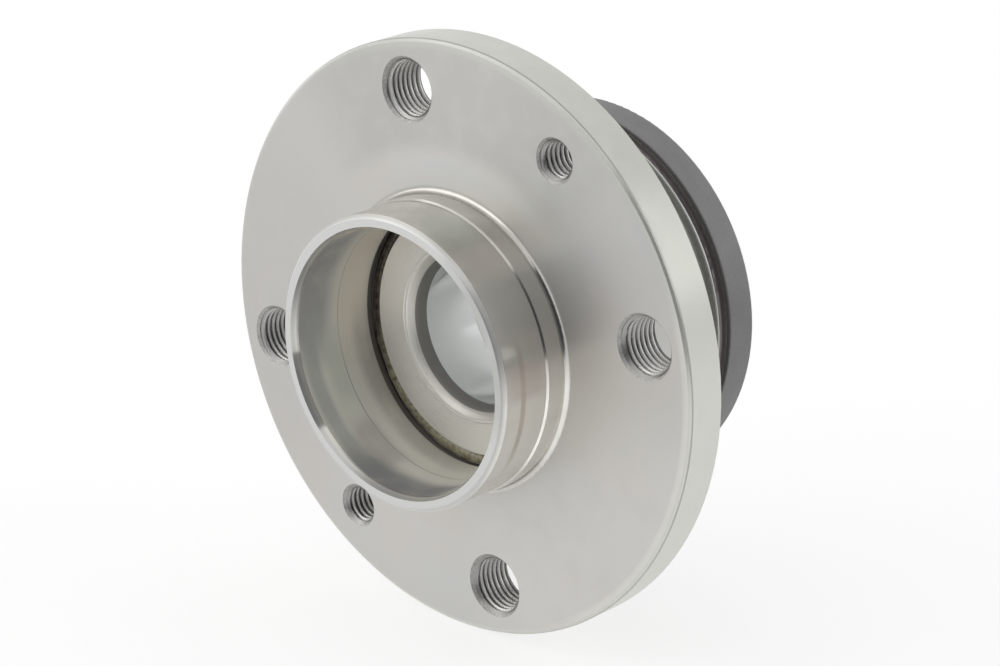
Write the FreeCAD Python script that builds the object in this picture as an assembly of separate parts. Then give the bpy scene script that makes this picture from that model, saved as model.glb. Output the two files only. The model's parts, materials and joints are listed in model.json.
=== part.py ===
import FreeCAD, Part
import math
import os

# Rear wheel hub bearing: a flanged hub that turns on two rows of balls round a fixed stub axle.
# The spin axis is Y. The collar points to -Y, which is outboard, and +Z is up.
# The origin is the centre of the face that the wheel is bolted against. Sizes are in millimetres.

# Wheel flange
BOLT_CIRCLE_D = 98.0          # circle of the wheel bolts and of the disc screws
RIM_MARGIN = 9.86             # bolt circle to the rim of the flange
FLANGE_THICKNESS = 10.5
RIM_FRONT_CUT = 0.7
RIM_BACK_BEVEL = 1.9
BOLT_COUNT = 4
BOLT_HOLE_D = 12.0            # M12 tapped holes, drawn at the thread's outer diameter
BOLT_SINK = 0.48              # countersink of a bolt hole, from its wall
SCREW_COUNT = 2
SCREW_HOLE_D = 8.0            # M8 tapped holes for the screws that hold the brake disc
SCREW_SINK = 0.44
FIRST_HOLE_ANGLE = 13.12      # degrees from +X towards +Z

# Collar that centres the wheel and the brake disc, and takes the grease cap
COLLAR_LENGTH = 16.8
WHEEL_PILOT_D = 57.9
PILOT_STEP = 0.35             # the disc pilot stands this much proud of the wheel pilot
DISC_PILOT_LENGTH = 5.26
COLLAR_WALL = 2.95
LEAD_IN_LENGTH = 1.5          # cone at the mouth of the bore, which guides the cap in
LEAD_IN_HEIGHT = 0.65
CAP_SEAT_DEPTH = 12.2
CAP_RELIEF = 0.3              # the bore opens by this much behind the cap's seat
COLLAR_EDGE_CUT = 0.85
COLLAR_ROOT_ROUND = 1.0

# Inner rings
AXLE_BORE_D = 30.0
RING_WALL = 9.5               # axle bore to the ground land that the seals run on
RING_FACE_DEPTH = 5.3         # wheel face to the outboard ring's end face
RING_CORNER_DEPTH = 3.65      # crowned bevel at the bore's mouth, along the axis
RING_CORNER_WIDTH = 2.3
RING_CROWN_DEPTH = 1.25       # the bevel's crown lies this much behind the face
RING_CROWN_WIDTH = 0.85       # and this much outside the bore
RING_CORNER_ROUND = 3.0
RING_FACE_STEP = 0.15         # the turned face ends at this shallow step
RING_FACE_STEP_GAP = 0.45
RING_EDGE_CUT = 0.2
LOW_SHOULDER = 1.0            # height of the ring's low shoulder above its groove

# Ball rows
BALL_D = 11.1
BALL_GAP = 1.9                # least space between neighbouring balls
CONTACT_ANGLE = 35.0
INNER_CONFORMITY = 0.52       # groove radius over ball diameter
OUTER_CONFORMITY = 0.53
BALL_CLEARANCE = 0.02
ROW_TO_JOINT = 8.7            # ball row to the joint between the inner rings
CAGE_WALL = 3.6
CAGE_LAND_GAP = 0.9           # cage to the inner ring's land
CAGE_BORE_GAP = 0.6           # cage to the hub's centre land
CAGE_BASE = 1.2
CAGE_HORN = 1.6               # reach of the cage past the ball's centre
POCKET_CLEARANCE = 0.15
CAGE_NOTCH_WIDTH = 2.4
CAGE_NOTCH_DEPTH = 2.6
CAGE_EDGE_ROUND = 0.4

# Hub body behind the flange
OUTER_WALL = 5.2              # bottom of the outer groove to the machined shoulder
NECK_DROP = 0.8               # the forged neck lies this much below the shoulder
NECK_ROOT_ROUND = 5.0
SHOULDER_BEVEL = 0.6
SHOULDER_LENGTH = 0.7
SPIGOT_DROP = 0.5             # the encoder's seat lies this much below the shoulder
SPIGOT_LENGTH = 6.3
GROOVE_LENGTH = 2.6
GROOVE_DROP = 1.7
GROOVE_ROUND = 0.7
END_CUT = 0.4

# Outboard seal, a thin rubber ring that sits in an undercut of the hub's bore
UNDERCUT_LEAD = 1.5           # the undercut starts this much outboard of the ring's face
OUT_SEAL_HEIGHT = 3.1
OUT_SEAL_RECESS = 0.8
OUT_SEAL_THICKNESS = 1.8
OUT_CORE_THICKNESS = 0.5
OUT_CORE_MARGIN = 0.5
OUT_LIP_HEIGHT = 1.1
OUT_LIP_EDGE = 0.5            # thickness of the rubber at the lip and over the core
OUT_BEAD_ROUND = 0.25
LEDGE_STEP = 1.0              # the ledge behind the seal stands this much proud of the undercut
LEDGE_CUT = 0.25
LIP_CLEARANCE = 0.05

# Inboard seal, a pressed case with three lips against a slinger
BALL_TO_CASE = 0.35
CASE_SHEET = 0.7
CASE_SEAT_STEP = 0.6          # the case's seat lies this much outside the outer groove
LIP_SPACE = 1.6               # case to slinger
SLINGER_SHEET = 0.7
SLINGER_GAP = 0.4             # labyrinth between slinger and case
RETAINING_LIP = 0.4           # the hub's bore beside the inboard balls is this much smaller
CASE_HOLE_GAP = 2.6           # edge of the case's hole to the ring's land
LIP_SHEET = 0.5
LIP_REACH = 1.5
SHEET_ROUND = 0.3
SLINGER_INSET = 0.1           # the slinger lies this much inside the hub's end

# Encoder ring over the hub's end
CARRIER_SHEET = 1.0
CARRIER_OVERLAP = 0.2         # the spigot runs this much past the carrier's band
CARRIER_ROUND = 0.8
ENCODER_THICKNESS = 0.9
ENCODER_MARGIN = 0.6
CARRIER_HOLE_STEP = 0.5       # the carrier's hole lies this much outside the seal's seat
RING_PROUD = 0.4              # the inner ring stands this much proud of the encoder

# Clip that holds the two inner rings together in their bores
CLIP_SEAT_DEPTH = 1.0
CLIP_GROOVE_DEPTH = 1.6
CLIP_HALF_LENGTH = 3.1
CLIP_HOOK_LENGTH = 0.8
CLIP_SHEET = 0.5
CLIP_CLEARANCE = 0.1
CLIP_HOOK_ROUND = 0.1
CLIP_SPLIT = 5.0

# Most of an outline's shorter side that a bevel or an arc may take
CORNER_LIMIT = 0.45

# Radii that follow from the sizes above
BOLT_CIRCLE_R = BOLT_CIRCLE_D / 2
FLANGE_R = BOLT_CIRCLE_R + RIM_MARGIN
WHEEL_PILOT_R = WHEEL_PILOT_D / 2
DISC_PILOT_R = WHEEL_PILOT_R + PILOT_STEP
CAP_SEAT_R = WHEEL_PILOT_R - COLLAR_WALL
CAP_RELIEF_R = CAP_SEAT_R + CAP_RELIEF
AXLE_BORE_R = AXLE_BORE_D / 2
LAND_R = AXLE_BORE_R + RING_WALL
BALL_R = BALL_D / 2
PITCH_R = LAND_R + CAGE_LAND_GAP + CAGE_WALL / 2
BALL_COUNT = int(2 * math.pi * PITCH_R / (BALL_D + BALL_GAP))
INNER_GROOVE_R = INNER_CONFORMITY * BALL_D
OUTER_GROOVE_R = OUTER_CONFORMITY * BALL_D
INNER_SHIFT = INNER_GROOVE_R - BALL_R - BALL_CLEARANCE
OUTER_SHIFT = OUTER_GROOVE_R - BALL_R - BALL_CLEARANCE
CONTACT_COS = math.cos(math.radians(CONTACT_ANGLE))
CONTACT_SIN = math.sin(math.radians(CONTACT_ANGLE))
INNER_CENTRE_R = PITCH_R + INNER_SHIFT * CONTACT_COS
OUTER_CENTRE_R = PITCH_R - OUTER_SHIFT * CONTACT_COS
LOW_LAND_R = INNER_CENTRE_R - INNER_GROOVE_R + LOW_SHOULDER
OUTER_RACE_R = OUTER_CENTRE_R + OUTER_GROOVE_R
CAGE_INNER_R = PITCH_R - CAGE_WALL / 2
CAGE_OUTER_R = PITCH_R + CAGE_WALL / 2
CENTRE_LAND_R = CAGE_OUTER_R + CAGE_BORE_GAP
SHOULDER_R = OUTER_RACE_R + OUTER_WALL
NECK_R = SHOULDER_R - NECK_DROP
SPIGOT_R = SHOULDER_R - SPIGOT_DROP
CASE_SEAT_R = OUTER_RACE_R + CASE_SEAT_STEP
UNDERCUT_R = LAND_R + OUT_SEAL_HEIGHT
LEDGE_R = UNDERCUT_R - LEDGE_STEP
CARRIER_R = SPIGOT_R + CARRIER_SHEET
CARRIER_HOLE_R = CASE_SEAT_R + CARRIER_HOLE_STEP
SLINGER_BORE_WALL_R = LAND_R + SLINGER_SHEET
SLINGER_RIM_R = CASE_SEAT_R - CASE_SHEET - SLINGER_GAP
CASE_HOLE_R = LAND_R + CASE_HOLE_GAP

# Places along the axis that follow from the sizes above
END_TO_ROW = (BALL_R + BALL_TO_CASE + CASE_SHEET + LIP_SPACE + SLINGER_SHEET + SLINGER_INSET
              + CARRIER_SHEET + ENCODER_THICKNESS + RING_PROUD)
TIP_Y = -COLLAR_LENGTH
RING_FACE_Y = RING_FACE_DEPTH
OUTBOARD_ROW_Y = RING_FACE_Y + END_TO_ROW
JOINT_Y = OUTBOARD_ROW_Y + ROW_TO_JOINT
INBOARD_ROW_Y = JOINT_Y + ROW_TO_JOINT
RING_BACK_Y = INBOARD_ROW_Y + END_TO_ROW
UNDERCUT_Y = RING_FACE_Y - UNDERCUT_LEAD
OUT_SEAL_FRONT_Y = RING_FACE_Y + OUT_SEAL_RECESS
OUT_SEAL_BACK_Y = OUT_SEAL_FRONT_Y + OUT_SEAL_THICKNESS
CASE_Y = INBOARD_ROW_Y + BALL_R + BALL_TO_CASE
SLINGER_FRONT_Y = CASE_Y + CASE_SHEET + LIP_SPACE
SLINGER_BACK_Y = SLINGER_FRONT_Y + SLINGER_SHEET
HUB_END_Y = SLINGER_BACK_Y + SLINGER_INSET
CARRIER_BACK_Y = HUB_END_Y + CARRIER_SHEET
CARRIER_FRONT_Y = HUB_END_Y - SPIGOT_LENGTH + CARRIER_OVERLAP
SPIGOT_START_Y = HUB_END_Y - SPIGOT_LENGTH
SHOULDER_END_Y = SPIGOT_START_Y - GROOVE_LENGTH
SHOULDER_START_Y = SHOULDER_END_Y - SHOULDER_LENGTH
NECK_END_Y = SHOULDER_START_Y - SHOULDER_BEVEL

AXIS = FreeCAD.Vector(0, 1, 0)
OUTBOARD = FreeCAD.Vector(0, -1, 0)
CENTRE = FreeCAD.Vector(0, 0, 0)


def cut(radius, y, size):
    """Outline corner that is cut off by a bevel, as long on both sides."""
    return radius, y, "cut", size


def rounded(radius, y, size):
    """Outline corner with a radius."""
    return radius, y, "round", size


def corner_points(before, corner, after):
    """Points that replace one corner: one if it is sharp, two for a bevel, three for an arc."""
    point = FreeCAD.Vector(corner[0], corner[1], 0)
    if len(corner) == 2:
        return [point]
    to_before = FreeCAD.Vector(before[0], before[1], 0) - point
    to_after = FreeCAD.Vector(after[0], after[1], 0) - point
    shorter = min(to_before.Length, to_after.Length)
    half_angle = to_before.getAngle(to_after) / 2
    to_before.normalize()
    to_after.normalize()
    if corner[2] == "cut":
        reach = min(corner[3], CORNER_LIMIT * shorter)
        return [point + to_before * reach, point + to_after * reach]
    reach = min(corner[3] / math.tan(half_angle), CORNER_LIMIT * shorter)
    radius = reach * math.tan(half_angle)
    inward = to_before + to_after
    inward.normalize()
    middle = point + inward * (radius / math.sin(half_angle) - radius)
    return [point + to_before * reach, middle, point + to_after * reach]


def turned(outline):
    """Solid turned about the spin axis from the corners of half its section."""
    count = len(outline)
    corners = [corner_points(outline[i - 1], outline[i], outline[(i + 1) % count]) for i in range(count)]
    edges = []
    for i, points in enumerate(corners):
        if len(points) == 2:
            edges.append(Part.LineSegment(points[0], points[1]).toShape())
        if len(points) == 3:
            edges.append(Part.Arc(points[0], points[1], points[2]).toShape())
        start = points[-1]
        end = corners[(i + 1) % count][0]
        edges.append(Part.LineSegment(start, end).toShape())
    face = Part.Face(Part.Wire(edges))
    return face.revolve(CENTRE, AXIS, 360)


def groove(centre_radius, y, radius):
    """Ring of round section that cuts a ball groove."""
    return Part.makeTorus(centre_radius, radius, FreeCAD.Vector(0, y, 0), AXIS)


def on_circle(radius, y, degrees):
    """Point at a radius and a place along the axis, turned from +X towards +Z."""
    angle = math.radians(degrees)
    return FreeCAD.Vector(radius * math.cos(angle), y, radius * math.sin(angle))


def mirrored(shape):
    """The same piece turned end for end about the joint between the inner rings."""
    return shape.mirror(FreeCAD.Vector(0, JOINT_Y, 0), AXIS)


def tapped_hole(degrees, diameter, sink):
    """Cutter for one through hole of the flange, countersunk at both faces."""
    start = on_circle(BOLT_CIRCLE_R, -sink, degrees)
    hole = Part.makeCylinder(diameter / 2, FLANGE_THICKNESS + 2 * sink, start, AXIS)
    wide = diameter / 2 + 2 * sink
    front = Part.makeCone(wide, diameter / 2, 2 * sink, start, AXIS)
    back_start = on_circle(BOLT_CIRCLE_R, FLANGE_THICKNESS + sink, degrees)
    back = Part.makeCone(wide, diameter / 2, 2 * sink, back_start, OUTBOARD)
    return [hole, front, back]


def hub():
    """Hub forging: collar, wheel flange and outer ring with both outer ball grooves."""
    outline = [
        (CAP_SEAT_R, TIP_Y + LEAD_IN_LENGTH),
        (CAP_SEAT_R + LEAD_IN_HEIGHT, TIP_Y),
        cut(WHEEL_PILOT_R, TIP_Y, COLLAR_EDGE_CUT),
        (WHEEL_PILOT_R, -DISC_PILOT_LENGTH),
        (DISC_PILOT_R, -DISC_PILOT_LENGTH + PILOT_STEP),
        rounded(DISC_PILOT_R, 0, COLLAR_ROOT_ROUND),
        cut(FLANGE_R, 0, RIM_FRONT_CUT),
        (FLANGE_R, FLANGE_THICKNESS - RIM_BACK_BEVEL),
        (FLANGE_R - RIM_BACK_BEVEL, FLANGE_THICKNESS),
        rounded(NECK_R, FLANGE_THICKNESS, NECK_ROOT_ROUND),
        (NECK_R, NECK_END_Y),
        (SHOULDER_R, SHOULDER_START_Y),
        (SHOULDER_R, SHOULDER_END_Y),
        rounded(SHOULDER_R - GROOVE_DROP, SHOULDER_END_Y + GROOVE_ROUND, GROOVE_ROUND),
        rounded(SHOULDER_R - GROOVE_DROP, SPIGOT_START_Y, GROOVE_ROUND),
        (SPIGOT_R, SPIGOT_START_Y),
        cut(SPIGOT_R, HUB_END_Y, END_CUT),
        cut(CASE_SEAT_R, HUB_END_Y, END_CUT),
        (CASE_SEAT_R, CASE_Y),
        (OUTER_RACE_R - RETAINING_LIP, CASE_Y),
        (OUTER_RACE_R - RETAINING_LIP, INBOARD_ROW_Y),
        (CENTRE_LAND_R, INBOARD_ROW_Y),
        (CENTRE_LAND_R, OUTBOARD_ROW_Y),
        (LEDGE_R, OUTBOARD_ROW_Y),
        cut(LEDGE_R, OUT_SEAL_BACK_Y, LEDGE_CUT),
        (UNDERCUT_R, OUT_SEAL_BACK_Y),
        (UNDERCUT_R, UNDERCUT_Y),
        (CAP_RELIEF_R, UNDERCUT_Y),
        (CAP_RELIEF_R, TIP_Y + CAP_SEAT_DEPTH + CAP_RELIEF),
        (CAP_SEAT_R, TIP_Y + CAP_SEAT_DEPTH),
    ]
    cutters = [
        groove(OUTER_CENTRE_R, OUTBOARD_ROW_Y - OUTER_SHIFT * CONTACT_SIN, OUTER_GROOVE_R),
        groove(OUTER_CENTRE_R, INBOARD_ROW_Y + OUTER_SHIFT * CONTACT_SIN, OUTER_GROOVE_R),
    ]
    for i in range(BOLT_COUNT):
        cutters += tapped_hole(FIRST_HOLE_ANGLE + 360 * i / BOLT_COUNT, BOLT_HOLE_D, BOLT_SINK)
    screw_start = FIRST_HOLE_ANGLE + 180 / BOLT_COUNT
    for i in range(SCREW_COUNT):
        cutters += tapped_hole(screw_start + 360 * i / SCREW_COUNT, SCREW_HOLE_D, SCREW_SINK)
    return turned(outline).cut(cutters)


def inner_ring():
    """Outboard inner ring: bevelled bore mouth, high land for the seal, groove, low land and clip seat."""
    corner_r = AXLE_BORE_R + RING_CORNER_WIDTH
    step_r = corner_r + RING_FACE_STEP_GAP
    step_y = RING_FACE_Y + RING_FACE_STEP
    blank = turned([
        (AXLE_BORE_R, RING_FACE_Y + RING_CORNER_DEPTH),
        rounded(AXLE_BORE_R + RING_CROWN_WIDTH, RING_FACE_Y + RING_CROWN_DEPTH, RING_CORNER_ROUND),
        (corner_r, step_y),
        (step_r, step_y),
        (step_r + RING_FACE_STEP, RING_FACE_Y),
        cut(LAND_R, RING_FACE_Y, RING_EDGE_CUT),
        (LAND_R, OUTBOARD_ROW_Y),
        (LOW_LAND_R, OUTBOARD_ROW_Y),
        cut(LOW_LAND_R, JOINT_Y, RING_EDGE_CUT),
        (AXLE_BORE_R + CLIP_SEAT_DEPTH, JOINT_Y),
        (AXLE_BORE_R + CLIP_SEAT_DEPTH, JOINT_Y - CLIP_HALF_LENGTH + CLIP_HOOK_LENGTH),
        (AXLE_BORE_R + CLIP_GROOVE_DEPTH, JOINT_Y - CLIP_HALF_LENGTH + CLIP_HOOK_LENGTH),
        (AXLE_BORE_R + CLIP_GROOVE_DEPTH, JOINT_Y - CLIP_HALF_LENGTH - CLIP_CLEARANCE),
        (AXLE_BORE_R, JOINT_Y - CLIP_HALF_LENGTH - CLIP_CLEARANCE),
    ])
    ball_groove = groove(INNER_CENTRE_R, OUTBOARD_ROW_Y + INNER_SHIFT * CONTACT_SIN, INNER_GROOVE_R)
    return blank.cut(ball_groove)


def ring_clip():
    """Split spring ring with two hooked edges, which snaps into both inner rings."""
    outside = AXLE_BORE_R + CLIP_SEAT_DEPTH - CLIP_CLEARANCE
    inside = outside - CLIP_SHEET
    hook = AXLE_BORE_R + CLIP_GROOVE_DEPTH - CLIP_CLEARANCE
    hook_y = CLIP_HALF_LENGTH - CLIP_HOOK_LENGTH + CLIP_CLEARANCE
    ring = turned([
        (inside, JOINT_Y - CLIP_HALF_LENGTH),
        rounded(hook, JOINT_Y - CLIP_HALF_LENGTH, CLIP_HOOK_ROUND),
        (hook, JOINT_Y - hook_y),
        (outside, JOINT_Y - hook_y),
        (outside, JOINT_Y + hook_y),
        (hook, JOINT_Y + hook_y),
        rounded(hook, JOINT_Y + CLIP_HALF_LENGTH, CLIP_HOOK_ROUND),
        (inside, JOINT_Y + CLIP_HALF_LENGTH),
    ])
    length = 4 * CLIP_HALF_LENGTH
    corner = FreeCAD.Vector(0, JOINT_Y - length / 2, -CLIP_SPLIT / 2)
    split = Part.makeBox(AXLE_BORE_D, length, CLIP_SPLIT, corner)
    return ring.cut(split)


def ball(row_y, degrees):
    """One steel ball of a row."""
    return Part.makeSphere(BALL_R, on_circle(PITCH_R, row_y, degrees))


def pocket(degrees):
    """Cutter for one pocket of the outboard cage, its seam turned to the pocket's open side."""
    across = FreeCAD.Vector(0, 0, -1)
    outward = FreeCAD.Vector(1, 0, 0)
    sphere = Part.makeSphere(BALL_R + POCKET_CLEARANCE)
    turn = FreeCAD.Rotation(OUTBOARD, across, outward)
    sphere.Placement = FreeCAD.Placement(on_circle(PITCH_R, OUTBOARD_ROW_Y, 0), turn)
    sphere.rotate(CENTRE, AXIS, -degrees)
    return sphere


def cage():
    """Outboard cage: a moulded ring with round pockets open towards the outboard side."""
    back_y = OUTBOARD_ROW_Y + BALL_R + CAGE_BASE
    ring = turned([
        rounded(CAGE_INNER_R, OUTBOARD_ROW_Y - CAGE_HORN, CAGE_EDGE_ROUND),
        rounded(CAGE_OUTER_R, OUTBOARD_ROW_Y - CAGE_HORN, CAGE_EDGE_ROUND),
        rounded(CAGE_OUTER_R, back_y, CAGE_EDGE_ROUND),
        rounded(CAGE_INNER_R, back_y, CAGE_EDGE_ROUND),
    ])
    pitch = 360 / BALL_COUNT
    # The seam of the turned blank goes between two pockets, as each notch does.
    ring.rotate(CENTRE, AXIS, pitch / 2)
    corner = FreeCAD.Vector(CAGE_INNER_R - CAGE_WALL, back_y - CAGE_NOTCH_DEPTH, -CAGE_NOTCH_WIDTH / 2)
    cutters = []
    for i in range(BALL_COUNT):
        cutters.append(pocket(pitch * i))
        notch = Part.makeBox(3 * CAGE_WALL, 2 * CAGE_NOTCH_DEPTH, CAGE_NOTCH_WIDTH, corner)
        notch.rotate(CENTRE, AXIS, -pitch * i - pitch / 2)
        cutters.append(notch)
    return ring.cut(cutters)


def outboard_seal_core():
    """Flat steel ring that stiffens the outboard seal."""
    front = OUT_SEAL_BACK_Y - OUT_CORE_THICKNESS
    return turned([
        (LAND_R + OUT_LIP_HEIGHT, front),
        (UNDERCUT_R - OUT_CORE_MARGIN, front),
        (UNDERCUT_R - OUT_CORE_MARGIN, OUT_SEAL_BACK_Y),
        (LAND_R + OUT_LIP_HEIGHT, OUT_SEAL_BACK_Y),
    ])


def outboard_seal_rubber():
    """Rubber of the outboard seal: bead in the undercut, web over the core and a lip on the land."""
    tip_r = LAND_R + LIP_CLEARANCE
    core_y = OUT_SEAL_BACK_Y - OUT_CORE_THICKNESS
    return turned([
        (tip_r, OUT_SEAL_FRONT_Y),
        (tip_r + OUT_LIP_EDGE, OUT_SEAL_FRONT_Y),
        (LAND_R + OUT_LIP_HEIGHT, core_y - OUT_LIP_EDGE),
        (UNDERCUT_R - OUT_CORE_MARGIN - OUT_LIP_EDGE, core_y - OUT_LIP_EDGE),
        rounded(UNDERCUT_R - OUT_CORE_MARGIN, OUT_SEAL_FRONT_Y, OUT_BEAD_ROUND),
        rounded(UNDERCUT_R, OUT_SEAL_FRONT_Y, OUT_BEAD_ROUND),
        (UNDERCUT_R, OUT_SEAL_BACK_Y),
        (UNDERCUT_R - OUT_CORE_MARGIN, OUT_SEAL_BACK_Y),
        (UNDERCUT_R - OUT_CORE_MARGIN, core_y),
        (LAND_R + OUT_LIP_HEIGHT, core_y),
        (LAND_R + OUT_LIP_HEIGHT, OUT_SEAL_BACK_Y),
        (LAND_R + OUT_LIP_EDGE, OUT_SEAL_BACK_Y),
    ])


def inboard_seal_case():
    """Pressed steel case of the inboard seal, pushed into the hub's end."""
    return turned([
        rounded(CASE_SEAT_R, CASE_Y, SHEET_ROUND),
        (CASE_SEAT_R, SLINGER_FRONT_Y),
        (CASE_SEAT_R - CASE_SHEET, SLINGER_FRONT_Y),
        rounded(CASE_SEAT_R - CASE_SHEET, CASE_Y + CASE_SHEET, SHEET_ROUND),
        (CASE_HOLE_R, CASE_Y + CASE_SHEET),
        (CASE_HOLE_R, CASE_Y),
    ])


def inboard_seal_lips():
    """Rubber bonded to the case: two lips run on the slinger's sleeve and one on its face."""
    sleeve_r = SLINGER_BORE_WALL_R + LIP_CLEARANCE
    face_y = SLINGER_FRONT_Y - LIP_CLEARANCE
    web_y = CASE_Y + CASE_SHEET
    root_r = CASE_HOLE_R - LIP_SHEET
    axial_r = CASE_HOLE_R + LIP_REACH
    return turned([
        (sleeve_r, CASE_Y),
        (CASE_HOLE_R, CASE_Y),
        (CASE_HOLE_R, web_y),
        (axial_r, web_y),
        (axial_r + LIP_SHEET + LIP_REACH / 2, face_y),
        (axial_r + LIP_REACH / 2, face_y),
        (axial_r - LIP_SHEET, web_y + LIP_SHEET),
        (root_r, web_y + LIP_SHEET),
        (sleeve_r + LIP_SHEET / 2, face_y - LIP_SHEET),
        (sleeve_r, face_y - LIP_SHEET),
        (root_r - LIP_SHEET, web_y),
        (sleeve_r, CASE_Y + LIP_SHEET),
    ])


def inboard_slinger():
    """Pressed steel slinger on the inboard ring's land, which closes the seal."""
    return turned([
        (LAND_R, CASE_Y),
        (SLINGER_BORE_WALL_R, CASE_Y),
        rounded(SLINGER_BORE_WALL_R, SLINGER_FRONT_Y, SHEET_ROUND),
        (SLINGER_RIM_R, SLINGER_FRONT_Y),
        (SLINGER_RIM_R, SLINGER_BACK_Y),
        rounded(LAND_R, SLINGER_BACK_Y, SLINGER_SHEET),
    ])


def encoder_carrier():
    """Pressed steel cup over the hub's end, which carries the encoder."""
    return turned([
        cut(SPIGOT_R, CARRIER_FRONT_Y, SHEET_ROUND),
        rounded(CARRIER_R, CARRIER_FRONT_Y, SHEET_ROUND),
        rounded(CARRIER_R, CARRIER_BACK_Y, CARRIER_ROUND),
        (CARRIER_HOLE_R, CARRIER_BACK_Y),
        (CARRIER_HOLE_R, HUB_END_Y),
        (SPIGOT_R, HUB_END_Y),
    ])


def encoder_ring():
    """Ring of magnetised rubber that the wheel speed sensor reads."""
    outside = CARRIER_R - CARRIER_ROUND - ENCODER_MARGIN / 2
    inside = CARRIER_HOLE_R + ENCODER_MARGIN / 2
    back = CARRIER_BACK_Y + ENCODER_THICKNESS
    return turned([
        (inside, CARRIER_BACK_Y),
        (outside, CARRIER_BACK_Y),
        rounded(outside, back, SHEET_ROUND),
        rounded(inside, back, SHEET_ROUND),
    ])


def build():
    """All pieces by name."""
    ring = inner_ring()
    row_cage = cage()
    pieces = {
        "hub": hub(),
        "outboard_inner_ring": ring,
        "inboard_inner_ring": mirrored(ring),
        "ring_clip": ring_clip(),
        "outboard_cage": row_cage,
        "inboard_cage": mirrored(row_cage),
        "outboard_seal_core": outboard_seal_core(),
        "outboard_seal_rubber": outboard_seal_rubber(),
        "inboard_seal_case": inboard_seal_case(),
        "inboard_seal_lips": inboard_seal_lips(),
        "inboard_slinger": inboard_slinger(),
        "encoder_carrier": encoder_carrier(),
        "encoder_ring": encoder_ring(),
    }
    for side, row_y in (("outboard", OUTBOARD_ROW_Y), ("inboard", INBOARD_ROW_Y)):
        for i in range(BALL_COUNT):
            pieces[f"{side}_ball_{i + 1:02d}"] = ball(row_y, 360 * i / BALL_COUNT)
    return pieces


os.makedirs("parts", exist_ok=True)
for name, shape in build().items():
    shape.exportStep(f"parts/{name}.step")
    print(f"{name}: {len(shape.Solids)} solid, valid {shape.isValid()}, {shape.Volume:.1f} mm3")
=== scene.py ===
# %% [markdown]
# # A wheel hub bearing, dressed for a studio picture
#
# The part is a rear wheel hub: a turned steel flange with a collar, which runs on two rows of balls.
# Its shapes and sizes come finished from the frame, so this file is about what the frame leaves out:
# cut threads, grease, and the way that steel looks after it comes off a lathe.
#
# Turned steel is a good lesson in metal. It has hardly any colour of its own, so what makes it look
# real is the direction of the tool marks, small changes in how rough it is, and what it reflects.

import json
import math

import bmesh
import bpy
from mathutils import Matrix, Vector, noise


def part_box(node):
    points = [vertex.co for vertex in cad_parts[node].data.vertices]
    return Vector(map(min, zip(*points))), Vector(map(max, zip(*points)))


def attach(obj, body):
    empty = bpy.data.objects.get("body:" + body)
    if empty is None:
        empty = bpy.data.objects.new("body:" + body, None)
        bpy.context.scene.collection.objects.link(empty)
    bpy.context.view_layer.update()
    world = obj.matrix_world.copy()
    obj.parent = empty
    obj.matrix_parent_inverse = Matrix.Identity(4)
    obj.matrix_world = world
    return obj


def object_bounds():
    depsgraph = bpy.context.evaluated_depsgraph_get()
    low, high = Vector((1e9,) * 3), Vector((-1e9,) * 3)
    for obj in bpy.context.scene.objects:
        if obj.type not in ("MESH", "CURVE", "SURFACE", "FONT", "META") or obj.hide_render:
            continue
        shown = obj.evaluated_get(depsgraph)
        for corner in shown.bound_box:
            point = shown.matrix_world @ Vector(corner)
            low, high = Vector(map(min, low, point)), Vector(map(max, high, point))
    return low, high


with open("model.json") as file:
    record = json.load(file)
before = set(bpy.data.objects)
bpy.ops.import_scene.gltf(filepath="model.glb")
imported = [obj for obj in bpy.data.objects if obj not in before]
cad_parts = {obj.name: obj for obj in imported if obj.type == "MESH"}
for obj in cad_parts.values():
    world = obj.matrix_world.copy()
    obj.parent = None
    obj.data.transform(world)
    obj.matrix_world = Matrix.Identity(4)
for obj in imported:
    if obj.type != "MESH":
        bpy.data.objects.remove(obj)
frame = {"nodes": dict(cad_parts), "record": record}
cad_low, cad_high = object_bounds()
MM = 0.001

# %% [markdown]
# ## Sizes from the frame
#
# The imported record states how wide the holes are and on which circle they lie. Reading them there
# keeps the threads in their holes if the part is ever changed. The record doesn't hold the flange's
# thickness, the angle of the first hole and the widths of the countersinks, so they are repeated
# here. The spin axis is Y, and the flange's front face is at Y = 0.

# %% Read the holes and the flange
mounts = {mount["name"]: mount for mount in frame["record"]["mounts"]}
AXIS = Vector((0, 1, 0))


def hole_pattern(name):
    """Radius of the circle of holes, radius of a hole and number of holes, in metres."""
    dims = mounts[name]["dims"]
    return dims["pcd_mm"] * MM / 2, dims["hole_r_mm"] * MM, dims["count"]


FLANGE_THICKNESS = 10.5 * MM
FIRST_HOLE_ANGLE = math.radians(13.12)
BOLT_CIRCLE, BOLT_RADIUS, BOLT_COUNT = hole_pattern("wheel_bolts")
SCREW_CIRCLE, SCREW_RADIUS, SCREW_COUNT = hole_pattern("disc_screws")
FIRST_SCREW_ANGLE = FIRST_HOLE_ANGLE + math.pi / BOLT_COUNT
BOLT_SINK = 0.48 * MM
SCREW_SINK = 0.44 * MM
ring_low, ring_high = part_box("outboard_inner_ring")
RING_RADIUS = ring_high.z
RING_FACE = ring_low.y
print("bolt holes:", BOLT_COUNT, "of radius", round(BOLT_RADIUS / MM, 2), "mm")
print("ring face at", round(RING_FACE / MM, 2), "mm, radius", round(RING_RADIUS / MM, 2), "mm")

# %% [markdown]
# ## The camera
#
# The picture was taken from the front right and a little above, with a long lens from about 60 cm.
# A camera is placed by two angles and a distance, and then moved sideways a little, because the
# object isn't quite in the middle of the picture. The three directions of the camera make the
# columns of its rotation matrix.

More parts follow.
